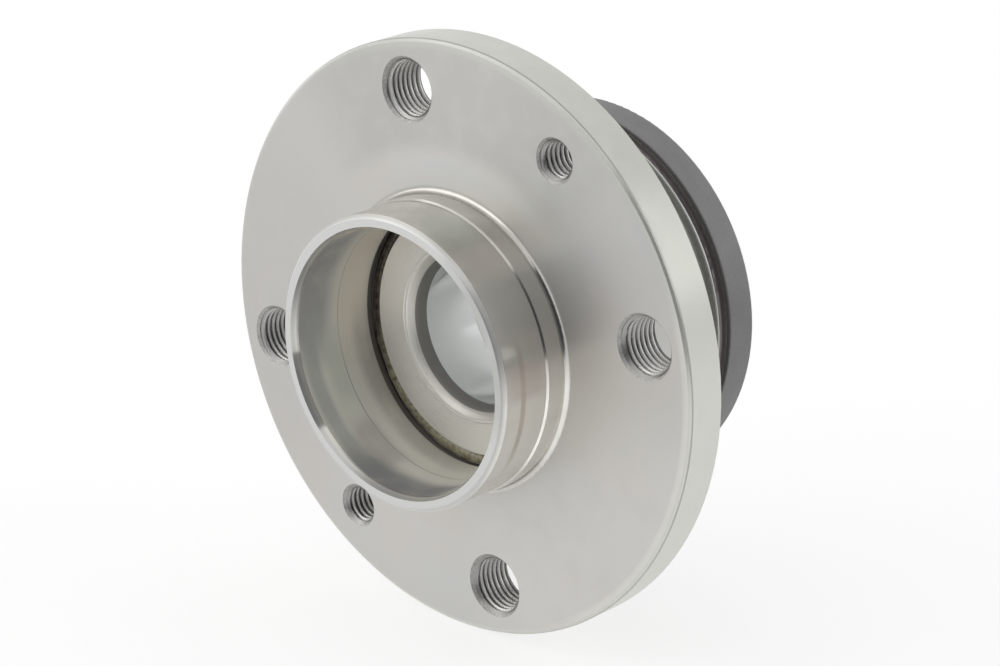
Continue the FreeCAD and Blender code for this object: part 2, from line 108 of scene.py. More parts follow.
# %% Place the camera
CAMERA_TURN = math.radians(42.406)
CAMERA_LIFT = math.radians(20.662)
CAMERA_DISTANCE = 608.32 * MM
CAMERA_RIGHT_SHIFT = 9.272 * MM
CAMERA_UP_SHIFT = 1.679 * MM
CAMERA_LENS = 114.91
CAMERA_SENSOR = 36.0


def place_camera():
    """Camera at the photograph's viewing angle."""
    back = Vector((math.sin(CAMERA_TURN) * math.cos(CAMERA_LIFT),
                   -math.cos(CAMERA_TURN) * math.cos(CAMERA_LIFT),
                   math.sin(CAMERA_LIFT)))
    right = Vector((0, 0, 1)).cross(back).normalized()
    up = back.cross(right)
    data = bpy.data.cameras.new("studio_camera")
    data.lens = CAMERA_LENS
    data.sensor_width = CAMERA_SENSOR
    camera = bpy.data.objects.new("studio_camera", data)
    bpy.context.scene.collection.objects.link(camera)
    place = back * CAMERA_DISTANCE + right * CAMERA_RIGHT_SHIFT + up * CAMERA_UP_SHIFT
    turn = Matrix((right, up, back)).transposed().to_4x4()
    camera.matrix_world = Matrix.Translation(place) @ turn
    return camera


bpy.context.scene.camera = place_camera()
bpy.context.scene.view_settings.view_transform = "Standard"
print("camera at", [round(c, 3) for c in bpy.context.scene.camera.location])

# %% [markdown]
# ## Small helpers for materials
#
# Every material below is built from shader nodes. Small helpers keep that readable: one adds a node
# and fills its inputs, one starts a material, and the rest are soft steps, bands and blends. A number
# or colour that is the same all over a surface goes straight on the shader's own socket, so that an
# exporter can read it.

# %% Node helpers
def fill(tree, node, values):
    """Sets a node's inputs by name. A socket given as a value is linked."""
    for name, value in values.items():
        if isinstance(value, bpy.types.NodeSocket):
            tree.links.new(value, node.inputs[name])
        else:
            node.inputs[name].default_value = value


def add(tree, kind, values=None, **settings):
    """Adds one shader node with its settings and inputs."""
    node = tree.nodes.new("ShaderNode" + kind)
    for name, value in settings.items():
        setattr(node, name, value)
    fill(tree, node, values or {})
    return node


def calculate(tree, operation, first, second=0.0, third=0.0):
    """Result of one Math node."""
    node = add(tree, "Math", {0: first, 1: second, 2: third}, operation=operation)
    return node.outputs[0]


def combine(tree, operation, first, second=(0, 0, 0)):
    """Vector result of one Vector Math node."""
    node = add(tree, "VectorMath", {0: first, 1: second}, operation=operation)
    return node.outputs[0]


def scale(tree, vector, amount):
    """Vector made longer by an amount, which may be a socket."""
    node = add(tree, "VectorMath", {0: vector, "Scale": amount}, operation="SCALE")
    return node.outputs[0]


def new_material(name):
    """Empty material with its node tree and an output node."""
    material = bpy.data.materials.new(name)
    material.use_nodes = True
    material.node_tree.nodes.clear()
    output = add(material.node_tree, "OutputMaterial")
    return material, material.node_tree, output


def ramp(tree, value, low, high):
    """Smooth step from 0 to 1 as a value goes from low to high."""
    node = add(tree, "MapRange", {"Value": value, "From Min": low, "From Max": high},
               interpolation_type="SMOOTHSTEP")
    return node.outputs["Result"]


def fall(tree, value, low, high):
    """Smooth step from 1 to 0 as a value goes from low to high."""
    return calculate(tree, "SUBTRACT", 1.0, ramp(tree, value, low, high))


def band(tree, value, low, high, soft):
    """1 between two values and 0 outside, with a soft step at each side."""
    rise = ramp(tree, value, low - soft, low + soft)
    drop = ramp(tree, value, high - soft, high + soft)
    return calculate(tree, "SUBTRACT", rise, drop)


def blend(tree, kind, factor, first, second):
    """Number, vector or colour between two others."""
    node = add(tree, "Mix", {"Factor": factor, "A": first, "B": second}, data_type=kind)
    return node.outputs["Result"]


def blend_colours(tree, factor, first, second):
    """Colour between two colours or sockets."""
    return blend(tree, "RGBA", factor, first, second)


print("node helpers ready")

# %% [markdown]
# ## Coordinates of a turned part
#
# A lathe moves a tool along and across a spinning part, so every mark on it is a ring about the spin
# axis. Two numbers say where a point lies on such a part: its radius and its place along the axis.
# A noise that reads only those two draws perfect rings on faces and cylinders alike. A little of the
# direction round the axis is mixed in where a finish changes from side to side.
#
# The rings also steer the reflections. Light spreads across fine grooves and not along them, which is
# why a turned face shows soft fans of light. The shader calls this anisotropy, and it needs the
# direction of the grooves: at right angles to the axis and to the radius.

# %% Turned coordinates
def turned_place(tree):
    """Radius and depth in millimetres, the direction round the axis, and the groove direction."""
    position = add(tree, "TexCoord").outputs["Object"]
    in_mm = combine(tree, "MULTIPLY", position, (1 / MM, 1 / MM, 1 / MM))
    flat = combine(tree, "MULTIPLY", in_mm, (1, 0, 1))
    radius = add(tree, "VectorMath", {0: flat}, operation="LENGTH").outputs["Value"]
    depth = add(tree, "SeparateXYZ", {"Vector": in_mm}).outputs["Y"]
    round_way = combine(tree, "NORMALIZE", flat)
    along_groove = combine(tree, "CROSS_PRODUCT", tuple(AXIS), round_way)
    groove = add(tree, "VectorTransform", {"Vector": along_groove}, vector_type="VECTOR",
                 convert_from="OBJECT", convert_to="WORLD").outputs["Vector"]
    return {"mm": in_mm, "radius": radius, "depth": depth, "round": round_way, "groove": groove}


def ring_noise(tree, place, per_mm, detail=2.0, wander=0.0):
    """Noise that makes rings about the axis. Wander lets them change slowly round the part."""
    lathe = add(tree, "CombineXYZ", {"X": place["radius"], "Y": place["depth"]}).outputs["Vector"]
    vector = combine(tree, "ADD", scale(tree, lathe, per_mm), scale(tree, place["round"], wander))
    node = add(tree, "TexNoise", {"Vector": vector, "Scale": 1.0, "Detail": detail, "Roughness": 0.6})
    return node.outputs["Fac"]


def cloud_noise(tree, place, size_mm, detail=3.0):
    """Plain noise with blotches of about one size."""
    node = add(tree, "TexNoise", {"Vector": place["mm"], "Scale": 1 / size_mm, "Detail": detail})
    return node.outputs["Fac"]


def facing(tree, place, degrees, reach, soft):
    """1 on the side that faces an angle round the axis, fading to 0 past its reach."""
    angle = math.radians(degrees)
    toward = (math.cos(angle), 0, math.sin(angle))
    match = add(tree, "VectorMath", {0: place["round"], 1: toward}, operation="DOT_PRODUCT")
    low = math.cos(math.radians(reach + soft))
    high = math.cos(math.radians(reach - soft))
    return ramp(tree, match.outputs["Value"], low, high)


def spread_over(tree, *masks):
    """Product of several masks."""
    product = masks[0]
    for mask in masks[1:]:
        product = calculate(tree, "MULTIPLY", product, mask)
    return product


print("turned coordinates ready")

# %% [markdown]
# ## Turned steel
#
# The hub is one forging with several finishes. Its face, its collar and its rim are turned, and the
# rim is a touch greener. The neck behind the flange is turned too, up to the place where it keeps
# the dark, grainy skin of the forge. One material covers them all: masks made from radius and depth
# choose the finish, as the machinist did. A turned edge lies at one depth, so a mask by depth can be
# sharp. A mask by radius needs some room, because a round mesh has flat facets, and the middle of a
# facet lies a little nearer to the axis.
#
# The colour varies by a few percent only. More than that and steel starts to look painted. Turned
# steel isn't a clean mirror either: fine scratches send a good third of the light everywhere, so the
# shader's metal share stays well below 1, and dark reflections never turn black.

# %% Colours of the hub's finishes
FACE_STEEL = (0.60, 0.588, 0.562, 1)
FACE_STEEL_WARM = (0.605, 0.577, 0.543, 1)
FACE_STEEL_COOL = (0.58, 0.59, 0.571, 1)
COLLAR_STEEL = (0.80, 0.77, 0.715, 1)
TIP_STEEL = (0.66, 0.665, 0.645, 1)
EDGE_STEEL = (0.56, 0.55, 0.52, 1)
BORE_STEEL = (0.84, 0.83, 0.76, 1)
RIM_STEEL = (0.715, 0.72, 0.665, 1)
SINK_STEEL = (0.44, 0.435, 0.415, 1)
# painted shade in the groove between the neck's shoulder and the carrier
GROOVE_PAINTED_SHADE = (0.26, 0.24, 0.235, 1)
FORGED = (0.17, 0.176, 0.158, 1)
FORGED_WORN = (0.34, 0.342, 0.31, 1)
METAL_SHARE = 0.62
print("face steel", FACE_STEEL[:3], "with", METAL_SHARE, "of metal")

# %% [markdown]
# ## Stains, and painted light and shade
#
# The heat and the oil of the works leave faint films on the collar and in its bore: straw, green
# and violet. Slate-grey patches lie on the far wall of the bore and on the pilot, darkest at the
# bottom of the bore. The face, the rim, the tip, the pilot and the bore near the seal also get
# painted light and painted shade: sides painted lighter and sides painted darker, for how the light
# falls on them and what they reflect. Each of them is a patch in the list below, given by its
# depths, its radii and the side that it faces, so it stays on the steel when the hub turns. A slow
# noise makes the patches uneven.

# %% Stains, and painted light and shade
FILMS_AND_PAINTED_LIGHT = [
    # low and high depth, low and high radius, angle, reach, colour, strength
    ("bore_slate", -18.0, -7.4, 25.5, 26.15, 158, 32, (0.40, 0.405, 0.42, 1), 0.8),
    ("bore_slate_side", -14.6, -11.0, 25.5, 27.0, 212, 26, (0.44, 0.45, 0.46, 1), 0.6),
    ("bore_slate_low", -18.0, -9.0, 25.5, 26.15, 270, 30, (0.24, 0.245, 0.26, 1), 0.85),
    ("bore_line", -4.78, -4.6, 25.5, 27.0, 200, 110, (0.26, 0.25, 0.23, 1), 0.8),
    ("bore_brown", -4.6, 3.4, 25.5, 27.0, 165, 30, (0.84, 0.75, 0.66, 1), 0.8),
    # painted shade: the bore is darker deep in the collar, next to the seal
    ("bore_painted_shade", -0.5, 5.5, 25.5, 27.0, 228, 44, (0.46, 0.44, 0.405, 1), 0.7),
    ("bore_green", -9.0, -5.0, 25.5, 27.0, 200, 14, (0.66, 0.69, 0.61, 1), 0.6),
    ("bore_violet", -10.0, -4.0, 25.5, 27.0, 240, 12, (0.52, 0.475, 0.475, 1), 0.6),
    # painted shade on the pilot's top and painted light on its lower right side
    ("pilot_top_painted_shade", -17.5, 1.5, 28.5, 30.6, 94, 42, (0.42, 0.405, 0.375, 1), 0.9),
    ("pilot_right_painted_light", -17.5, 1.5, 28.5, 30.1, -16, 18, (0.97, 0.945, 0.885, 1), 0.9),
    ("pilot_straw", -12.2, -10.9, 28.4, 29.9, -8, 22, (0.54, 0.44, 0.34, 1), 0.6),
    ("pilot_green", -15.5, -5.5, 28.4, 29.9, 68, 12, (0.50, 0.54, 0.47, 1), 0.5),
    ("pilot_rose", -15.5, -5.5, 28.4, 29.9, 52, 7, (0.68, 0.61, 0.56, 1), 0.5),
    ("pilot_slate", -15.5, -1.5, 28.4, 29.9, 36, 12, (0.58, 0.595, 0.56, 1), 0.45),
    ("pilot_rose_low", -15.5, -5.5, 28.4, 29.9, 5, 6, (0.66, 0.58, 0.54, 1), 0.5),
    # painted shade on the right side of the tip
    ("tip_right_painted_shade", -17.5, -16.2, 26.6, 28.3, 22, 30, (0.46, 0.455, 0.435, 1), 0.7),
    # painted shade on the top and the left of the face, painted light on its lower right
    ("face_top_painted_shade", -0.3, 0.3, 38.0, 60.0, 88, 38, (0.46, 0.455, 0.435, 1), 0.75),
    ("face_left_painted_shade", -0.3, 0.3, 32.0, 60.0, 180, 34, (0.54, 0.53, 0.505, 1), 0.6),
    ("face_straw", -0.3, 0.3, 31.0, 56.0, 352, 16, (0.55, 0.52, 0.475, 1), 0.4),
    ("face_lower_right_painted_light", -0.3, 0.3, 30.0, 62.0, 318, 34, (0.70, 0.685, 0.655, 1), 0.6),
    # painted shade on the rim's top and painted light on its lower right
    ("rim_top_painted_shade", -3.0, 14.0, 57.0, 61.0, 72, 42, (0.55, 0.56, 0.515, 1), 0.75),
    ("rim_lower_right_painted_light", -3.0, 14.0, 57.0, 61.0, -20, 34, (0.78, 0.785, 0.725, 1), 0.6),
]
SOFT_SHARE_ALONG = 0.25
SOFT_SHARE_ACROSS = 0.12
SOFT_SHARE_ROUND = 0.45
PATCHINESS = 0.3
PATCH_SIZE = 6.0


def with_films_and_painted_light(tree, place, colour):
    """Colour with the faint films, the slate patches, and the painted light and shade over it."""
    cloud = ramp(tree, cloud_noise(tree, place, PATCH_SIZE, detail=4.0), 0.25, 0.6)
    patchy = calculate(tree, "MULTIPLY_ADD", cloud, PATCHINESS, 1.0 - PATCHINESS)
    for _, low, high, inside, outside, angle, reach, tint_and_painted_light, strength in FILMS_AND_PAINTED_LIGHT:
        along = band(tree, place["depth"], low, high, (high - low) * SOFT_SHARE_ALONG)
        across = band(tree, place["radius"], inside, outside, (outside - inside) * SOFT_SHARE_ACROSS)
        side = facing(tree, place, angle, reach, reach * SOFT_SHARE_ROUND)
        amount = calculate(tree, "MULTIPLY", spread_over(tree, along, across, side, patchy), strength)
        colour = blend_colours(tree, amount, colour, tint_and_painted_light)
    return colour


print("films_and_painted_tones:", [entry[0] for entry in FILMS_AND_PAINTED_LIGHT])

# %% [markdown]
# ## Bright edges and countersinks
#
# The tool leaves the step on the collar and the round at its foot brighter than the rest, so these
# two get masks of their own. The cones at the mouths of the holes are duller, with the marks of the
# countersink. Their mask asks how far a point is from the nearest hole.

# %% Masks for edges and countersinks
STEP_DEPTHS = (-5.25, -4.92)
STEP_RADII = (28.7, 29.5)
FOOT_DEPTHS = (-0.97, -0.03)
FOOT_RADII = (28.7, 30.8)
DEPTH_SOFT = 0.02
RADIUS_SOFT = 0.1
SINK_SOFT = 0.03


def collar_edges(tree, place):
    """1 on the pilot's step and on the round at its foot, which the tool left bright."""
    step = spread_over(tree, band(tree, place["depth"], *STEP_DEPTHS, DEPTH_SOFT),
                       band(tree, place["radius"], *STEP_RADII, RADIUS_SOFT))
    foot = spread_over(tree, band(tree, place["depth"], *FOOT_DEPTHS, DEPTH_SOFT),
                       band(tree, place["radius"], *FOOT_RADII, RADIUS_SOFT))
    return calculate(tree, "MAXIMUM", step, foot)


def hole_distance(tree, place, circle, start_angle, count):
    """Distance in millimetres from the axis of the nearest hole of a pattern."""
    nearest = None
    for i in range(count):
        angle = start_angle + 2 * math.pi * i / count
        centre = (circle / MM * math.cos(angle), 0, circle / MM * math.sin(angle))
        offset = combine(tree, "SUBTRACT", place["mm"], centre)
        flat = combine(tree, "MULTIPLY", offset, (1, 0, 1))
        distance = add(tree, "VectorMath", {0: flat}, operation="LENGTH").outputs["Value"]
        nearest = distance if nearest is None else calculate(tree, "MINIMUM", nearest, distance)
    return nearest


def countersinks(tree, place):
    """1 on the cones at the mouths of the holes, which keep the marks of the cutter."""
    bolts = hole_distance(tree, place, BOLT_CIRCLE, FIRST_HOLE_ANGLE, BOLT_COUNT)
    screws = hole_distance(tree, place, SCREW_CIRCLE, FIRST_SCREW_ANGLE, SCREW_COUNT)
    past_bolt = calculate(tree, "SUBTRACT", bolts, (BOLT_RADIUS + BOLT_SINK) / MM)
    past_screw = calculate(tree, "SUBTRACT", screws, (SCREW_RADIUS + SCREW_SINK) / MM)
    past = calculate(tree, "MINIMUM", past_bolt, past_screw)
    return fall(tree, past, -SINK_SOFT, 0.0)


print("countersinks", round(BOLT_SINK / MM, 2), "and", round(SCREW_SINK / MM, 2), "mm wide")

# %% [markdown]
# ## Small rounds in the shading
#
# Real edges are never sharp, and a light or dark line runs along each. The flange's front cut and
# the foot of the collar are only a few facets across in the mesh, which would break that line into
# teeth. Their shape is known, though: it is a profile turned about the axis. So the shader works out
# the surface's direction from depth and radius alone, and the line stays as clean as on a real part.
# The cut turns through a first small round, runs straight at 45 degrees up to CUT_LINE, and turns
# into the rim through a second one. The foot is a quarter circle.

# %% Normals of the small rounds
CUT_DEPTHS = (0.01, 0.69)
CUT_RADII = (57.5, 57.6)
CUT_SOFT = 0.005
CUT_ROUND = 0.12
CUT_LINE = 0.42
FOOT_ROUND = 1.0
FOOT_MARGIN = 0.006
FOOT_SOFT = 0.003


def lathe_normal(tree, place, outward, forward):
    """Normal that leans outwards from the axis and forwards along it by two amounts."""
    out = scale(tree, place["round"], outward)
    ahead = scale(tree, tuple(-AXIS), forward)
    turned = combine(tree, "NORMALIZE", combine(tree, "ADD", out, ahead))
    return add(tree, "VectorTransform", {"Vector": turned}, vector_type="NORMAL",
               convert_from="OBJECT", convert_to="WORLD").outputs["Vector"]


def rounded(tree, place, normal):
    """Normal with smooth rounds on the flange's front cut and at the foot of the collar."""
    first = ramp(tree, place["depth"], 0.0, CUT_ROUND)
    last = ramp(tree, place["depth"], CUT_LINE, CUT_LINE + CUT_ROUND)
    outward = calculate(tree, "MULTIPLY", calculate(tree, "ADD", first, last), 0.5)
    over_cut = lathe_normal(tree, place, outward, calculate(tree, "SUBTRACT", 1.0, outward))
    on_cut = spread_over(tree, band(tree, place["depth"], *CUT_DEPTHS, CUT_SOFT),
                         ramp(tree, place["radius"], *CUT_RADII))
    forward = calculate(tree, "ADD", place["depth"], FOOT_ROUND)
    rest = calculate(tree, "SUBTRACT", 1.0, calculate(tree, "MULTIPLY", forward, forward))
    sideways = calculate(tree, "SQRT", calculate(tree, "MAXIMUM", rest, 0.0))
    over_foot = lathe_normal(tree, place, sideways, forward)
    foot_start = FOOT_MARGIN - FOOT_ROUND
    on_foot = spread_over(tree, band(tree, place["depth"], foot_start, -FOOT_MARGIN, FOOT_SOFT),
                          band(tree, place["radius"], *FOOT_RADII, RADIUS_SOFT))
    for mask, smooth in ((on_cut, over_cut), (on_foot, over_foot)):
        normal = blend(tree, "VECTOR", mask, normal, smooth)
    return normal


print("rounds worked out for a cut of", CUT_DEPTHS[1], "mm and a foot of", FOOT_ROUND, "mm")

# %% [markdown]
# ## The hub's material
#
# The colour is laid down like paint: the face first, then each finish over it through its mask.
# Then the same masks set how rough and how metallic each place is. The collar is the smoothest, its
# bore and the bevel at its tip are coarser, and the forged skin is the roughest.

# %% Colour of the turned steel
TIP_FADE = (-16.2, -15.9)
BORE_MOUTH = (-15.5, -15.2)
COLLAR_FADE = (-0.9, -0.5)
BORE_FADE = (26.5, 27.4)
RIM_FADE = (57.5, 58.5)
GROOVE_DEPTHS = (34.15, 36.8)
NECK_FADE = (35.5, 35.6)
BLOTCH_SIZE = 22.0


def turned_colour(tree, place, broad):
    """Steel colours of face, collar, tip, bore and rim, with painted shade in the groove and slow
    changes.
    """
    radius, depth = place["radius"], place["depth"]
    blotch = cloud_noise(tree, place, BLOTCH_SIZE)
    tinted = blend_colours(tree, ramp(tree, blotch, 0.35, 0.65), FACE_STEEL_COOL, FACE_STEEL_WARM)
    bore = spread_over(tree, fall(tree, radius, *BORE_FADE), ramp(tree, depth, *BORE_MOUTH))
    groove = spread_over(tree, band(tree, depth, *GROOVE_DEPTHS, 0.03), ramp(tree, radius, *NECK_FADE))
    layers = [
        (ramp(tree, broad, 0.3, 0.7), FACE_STEEL),
        (fall(tree, depth, *COLLAR_FADE), COLLAR_STEEL),
        (fall(tree, depth, *TIP_FADE), TIP_STEEL),
        (collar_edges(tree, place), EDGE_STEEL),
        (bore, BORE_STEEL),
        (ramp(tree, radius, *RIM_FADE), RIM_STEEL),
        # painted shade: the groove is darkened
        (groove, GROOVE_PAINTED_SHADE),
    ]
    steel = tinted
    for mask, finish in layers:
        steel = blend_colours(tree, mask, steel, finish)
    return steel


print("the collar's colour begins", -COLLAR_FADE[1], "mm in front of the face")


# %% Roughness of the turned steel
FACE_ROUGH = 0.27
FACE_ROUGH_RINGS = 0.14
COLLAR_ROUGH = 0.10
COLLAR_ROUGH_RINGS = 0.12
COARSE_ROUGH = 0.42
COLLAR_WALL = (24.0, 29.6)
BORE_WALL = (24.0, 27.0)
BORE_START = (-15.4, -15.2)
BEVEL_RADII = (28.1, 28.9)
BEVEL_DEPTHS = (-17.5, -15.9)


def turned_roughness(tree, place, fine):
    """Roughness of face, collar, bore and tip bevel, varied by the fine tool marks."""
    radius, depth = place["radius"], place["depth"]
    face = calculate(tree, "MULTIPLY_ADD", fine, FACE_ROUGH_RINGS, FACE_ROUGH)
    polished = calculate(tree, "MULTIPLY_ADD", fine, COLLAR_ROUGH_RINGS, COLLAR_ROUGH)
    rough = blend(tree, "FLOAT", band(tree, radius, *COLLAR_WALL, 0.2), face, polished)
    bored = spread_over(tree, band(tree, radius, *BORE_WALL, 0.1), ramp(tree, depth, *BORE_START))
    bevel = spread_over(tree, band(tree, radius, *BEVEL_RADII, 0.05),
                        band(tree, depth, *BEVEL_DEPTHS, 0.1))
    return blend(tree, "FLOAT", calculate(tree, "MAXIMUM", bored, bevel), rough, COARSE_ROUGH)


print("roughness from", COLLAR_ROUGH, "on the collar to", COARSE_ROUGH, "in its bore")


# %% The hub's steel
FORGED_DEPTHS = (26.0, 33.8)
FORGED_RADII = (35.5, 38.3)
EDGE_ROUGH = 0.22
FORGED_ROUGH = 0.6
SINK_ROUGH = 0.4
DULLER = -0.3


def hub_steel():
    """Turned steel with bright edges, dull countersinks and a forged neck."""
    material, tree, output = new_material("hub_turned_steel")
    place = turned_place(tree)
    fine = ring_noise(tree, place, 5.0, detail=3.0, wander=0.6)
    broad = ring_noise(tree, place, 0.7, detail=2.0, wander=1.4)
    grain = cloud_noise(tree, place, 0.7, detail=6.0)
    cut_grain = cloud_noise(tree, place, 0.5, detail=5.0)
    edges = collar_edges(tree, place)
    sunk = countersinks(tree, place)
    neck = spread_over(tree, band(tree, place["depth"], *FORGED_DEPTHS, 0.08),
                       band(tree, place["radius"], *FORGED_RADII, 0.05))
    colour = with_films_and_painted_light(tree, place, turned_colour(tree, place, broad))
    cut_steel = blend_colours(tree, ramp(tree, cut_grain, 0.35, 0.65), SINK_STEEL, FACE_STEEL)
    colour = blend_colours(tree, sunk, colour, cut_steel)
    colour = blend_colours(tree, neck, colour, blend_colours(tree, grain, FORGED, FORGED_WORN))
    metal = calculate(tree, "MULTIPLY_ADD", neck, DULLER, METAL_SHARE)
    metal = calculate(tree, "MULTIPLY_ADD", edges, 1.0 - METAL_SHARE, metal)
    metal = calculate(tree, "MULTIPLY_ADD", sunk, DULLER, metal)
    rough = turned_roughness(tree, place, fine)
    for mask, finish in ((edges, EDGE_ROUGH), (neck, FORGED_ROUGH), (sunk, SINK_ROUGH)):
        rough = blend(tree, "FLOAT", mask, rough, finish)
    marks = add(tree, "Bump", {"Height": fine, "Strength": 0.10, "Distance": 0.02 * MM})
    skin = add(tree, "Bump", {"Height": calculate(tree, "MULTIPLY", grain, neck), "Strength": 0.5,
                              "Distance": 0.15 * MM, "Normal": marks.outputs["Normal"]})
    shader = add(tree, "BsdfPrincipled", {
        "Base Color": colour, "Metallic": metal, "Roughness": rough, "Anisotropic": 0.75,
        "Anisotropic Rotation": 0.25, "Tangent": place["groove"],
        "Normal": rounded(tree, place, skin.outputs["Normal"])})
    tree.links.new(shader.outputs["BSDF"], output.inputs["Surface"])
    return material


finishes = {"hub_steel": hub_steel()}
print("hub steel has", len(finishes["hub_steel"].node_tree.nodes), "nodes")

# %% [markdown]
# ## Ground ring steel
#
# The inner rings are hardened and ground, so they are finer and a little bluer than the hub. Their
# end face was turned before it was hardened, and keeps scratchy arcs from handling. The ring is
# lighter on its left side and darker at its bottom: painted light and painted shade. The bore is
# smooth enough to mirror the light. The round at its mouth wasn't ground, so it keeps the dark skin
# of the hardening furnace.

# %% Ring steel
RING_STEEL = (0.86, 0.85, 0.80, 1)
RING_STEEL_WARM = (0.80, 0.775, 0.72, 1)
RING_PAINTED_LIGHT = (0.97, 0.955, 0.91, 1)
RING_PAINTED_SHADE = (0.60, 0.585, 0.545, 1)
AXLE_BORE_STEEL = (0.69, 0.71, 0.70, 1)
SKIN = (0.29, 0.285, 0.275, 1)
CORNER_STEEL = (0.62, 0.60, 0.56, 1)
LINE_STEEL = (0.33, 0.325, 0.30, 1)
AXLE_BORE_OUTSIDE = 15.08
RING_ROUGH = 0.36
MARKS_ROUGH = 0.12
AXLE_BORE_ROUGH = 0.18
SKIN_ROUGH = 0.5
CORNER_FRONT = 5.6
SKIN_FRONT = 6.6
SKIN_BACK = 8.93
RING_LINES = (17.19, 17.85)
LINE_HALF_WIDTH = 0.05
CORNER_FADE = (17.1, 17.3)
PAINTED_LIGHT_SIDE = 175
PAINTED_SHADE_SIDE = 285
SIDE_REACH = 40
SIDE_SOFT = 30


def ring_steel():
    """Ground steel with fine turned lines, light handling scratches on the end face, and painted light
    and shade.
    """
    material, tree, output = new_material("ring_ground_steel")
    place = turned_place(tree)
    fine = ring_noise(tree, place, 7.0, detail=3.0, wander=0.8)
    scratch = ring_noise(tree, place, 3.0, detail=5.0, wander=14.0)
    lines = ramp(tree, scratch, 0.53, 0.62)
    lines = calculate(tree, "MULTIPLY", lines, ramp(tree, cloud_noise(tree, place, 7.0), 0.42, 0.6))
    colour = blend_colours(tree, ramp(tree, fine, 0.3, 0.7), RING_STEEL, RING_STEEL_WARM)
    colour = blend_colours(tree, calculate(tree, "MULTIPLY", lines, 0.3), colour, LINE_STEEL)
    for line in RING_LINES:
        drawn = band(tree, place["radius"], line - LINE_HALF_WIDTH, line + LINE_HALF_WIDTH, 0.03)
        colour = blend_colours(tree, calculate(tree, "MULTIPLY", drawn, 0.8), colour, LINE_STEEL)
    # painted light on the left side and painted shade at the bottom
    for side, share, painted_tone in ((PAINTED_LIGHT_SIDE, 0.85, RING_PAINTED_LIGHT), (PAINTED_SHADE_SIDE, 0.5, RING_PAINTED_SHADE)):
        painted_share = calculate(tree, "MULTIPLY", facing(tree, place, side, SIDE_REACH, SIDE_SOFT), share)
        colour = blend_colours(tree, painted_share, colour, painted_tone)
    ground = fall(tree, place["radius"], AXLE_BORE_OUTSIDE - 0.02, AXLE_BORE_OUTSIDE)
    colour = blend_colours(tree, ground, colour, AXLE_BORE_STEEL)
    mouth = fall(tree, place["radius"], *CORNER_FADE)
    corner = spread_over(tree, band(tree, place["depth"], CORNER_FRONT, SKIN_BACK, 0.2), mouth)
    colour = blend_colours(tree, calculate(tree, "MULTIPLY", corner, 0.7), colour, CORNER_STEEL)
    skin = spread_over(tree, band(tree, place["depth"], SKIN_FRONT, SKIN_BACK, 0.04), mouth)
    colour = blend_colours(tree, skin, colour, SKIN)
    rough = calculate(tree, "MULTIPLY_ADD", fine, MARKS_ROUGH, RING_ROUGH)
    rough = calculate(tree, "MULTIPLY_ADD", lines, MARKS_ROUGH, rough)
    rough = blend(tree, "FLOAT", ground, rough, AXLE_BORE_ROUGH)
    rough = blend(tree, "FLOAT", skin, rough, SKIN_ROUGH)
    height = calculate(tree, "MULTIPLY_ADD", lines, -0.6, fine)
    marks = add(tree, "Bump", {"Height": height, "Strength": 0.12, "Distance": 0.02 * MM})
    shader = add(tree, "BsdfPrincipled", {
        "Base Color": colour, "Metallic": METAL_SHARE, "Roughness": rough, "Anisotropic": 0.5,
        "Anisotropic Rotation": 0.25, "Tangent": place["groove"], "Normal": marks.outputs["Normal"]})
    tree.links.new(shader.outputs["BSDF"], output.inputs["Surface"])
    return material


finishes["ring_steel"] = ring_steel()
print("ring steel has", len(finishes["ring_steel"].node_tree.nodes), "nodes")

# %% [markdown]
# ## Thread steel
#
# A tap tears the steel a little, which gives the thread its grain. Its roots are painted darker than
# its crests, as painted shade, since little light gets into them. So the crests are bright and the
# roots are dark, and the depth of a point in the thread decides between the two. The turns nearest
# the faces are cut shallow by the countersinks and lie in their shade, painted as an even, duller grey.

# %% Thread steel
THREAD_CREST = (0.51, 0.505, 0.485, 1)
THREAD_ROOT = (0.24, 0.237, 0.225, 1)
LEAD_PAINTED_SHADE = (0.24, 0.237, 0.228, 1)
LEAD_SHADE = 0.55
LEAD_LENGTH = 1.15


def thread_steel(name, circle, start_angle, count, hole_radius, depth):
    """Cut steel with painted shade that darkens it towards the roots of the thread."""
    material, tree, output = new_material(name)
    place = turned_place(tree)
    nearest = hole_distance(tree, place, circle, start_angle, count)
    inside = band(tree, place["depth"], LEAD_LENGTH, FLANGE_THICKNESS / MM - LEAD_LENGTH, 0.2)
    root = ramp(tree, nearest, (hole_radius - depth) / MM, hole_radius / MM)
    root = calculate(tree, "MULTIPLY", root, inside)
    grain = cloud_noise(tree, place, 0.35, detail=5.0)
    tears = cloud_noise(tree, place, 1.1, detail=6.0)
    # painted shade towards the roots, mixed with the grain and the tears
    grain_and_root_shade = calculate(tree, "MULTIPLY_ADD", grain, 0.45, calculate(tree, "MULTIPLY", root, 0.7))
    grain_and_root_shade = calculate(tree, "MULTIPLY_ADD", tears, 0.35, grain_and_root_shade)
    colour = blend_colours(tree, ramp(tree, grain_and_root_shade, 0.4, 1.05), THREAD_CREST, THREAD_ROOT)
    # painted shade on the shallow turns next to the faces
    lead = calculate(tree, "MULTIPLY_ADD", inside, -LEAD_SHADE, LEAD_SHADE)
    colour = blend_colours(tree, lead, colour, LEAD_PAINTED_SHADE)
    rough = calculate(tree, "MULTIPLY_ADD", grain, 0.3, 0.25)
    bump = add(tree, "Bump", {"Height": grain, "Strength": 0.8, "Distance": 0.07 * MM})
    shader = add(tree, "BsdfPrincipled", {"Base Color": colour, "Metallic": 1.0, "Roughness": rough,
                                          "Normal": bump.outputs["Normal"]})
    tree.links.new(shader.outputs["BSDF"], output.inputs["Surface"])
    return material


print("thread steel is made once for each size of hole")

# %% [markdown]
# ## Plain finishes
#
# The other pieces have one finish each. They still get grain, wear and uneven gloss, because a flat
# colour never looks like a material. One function with a few settings makes them all.

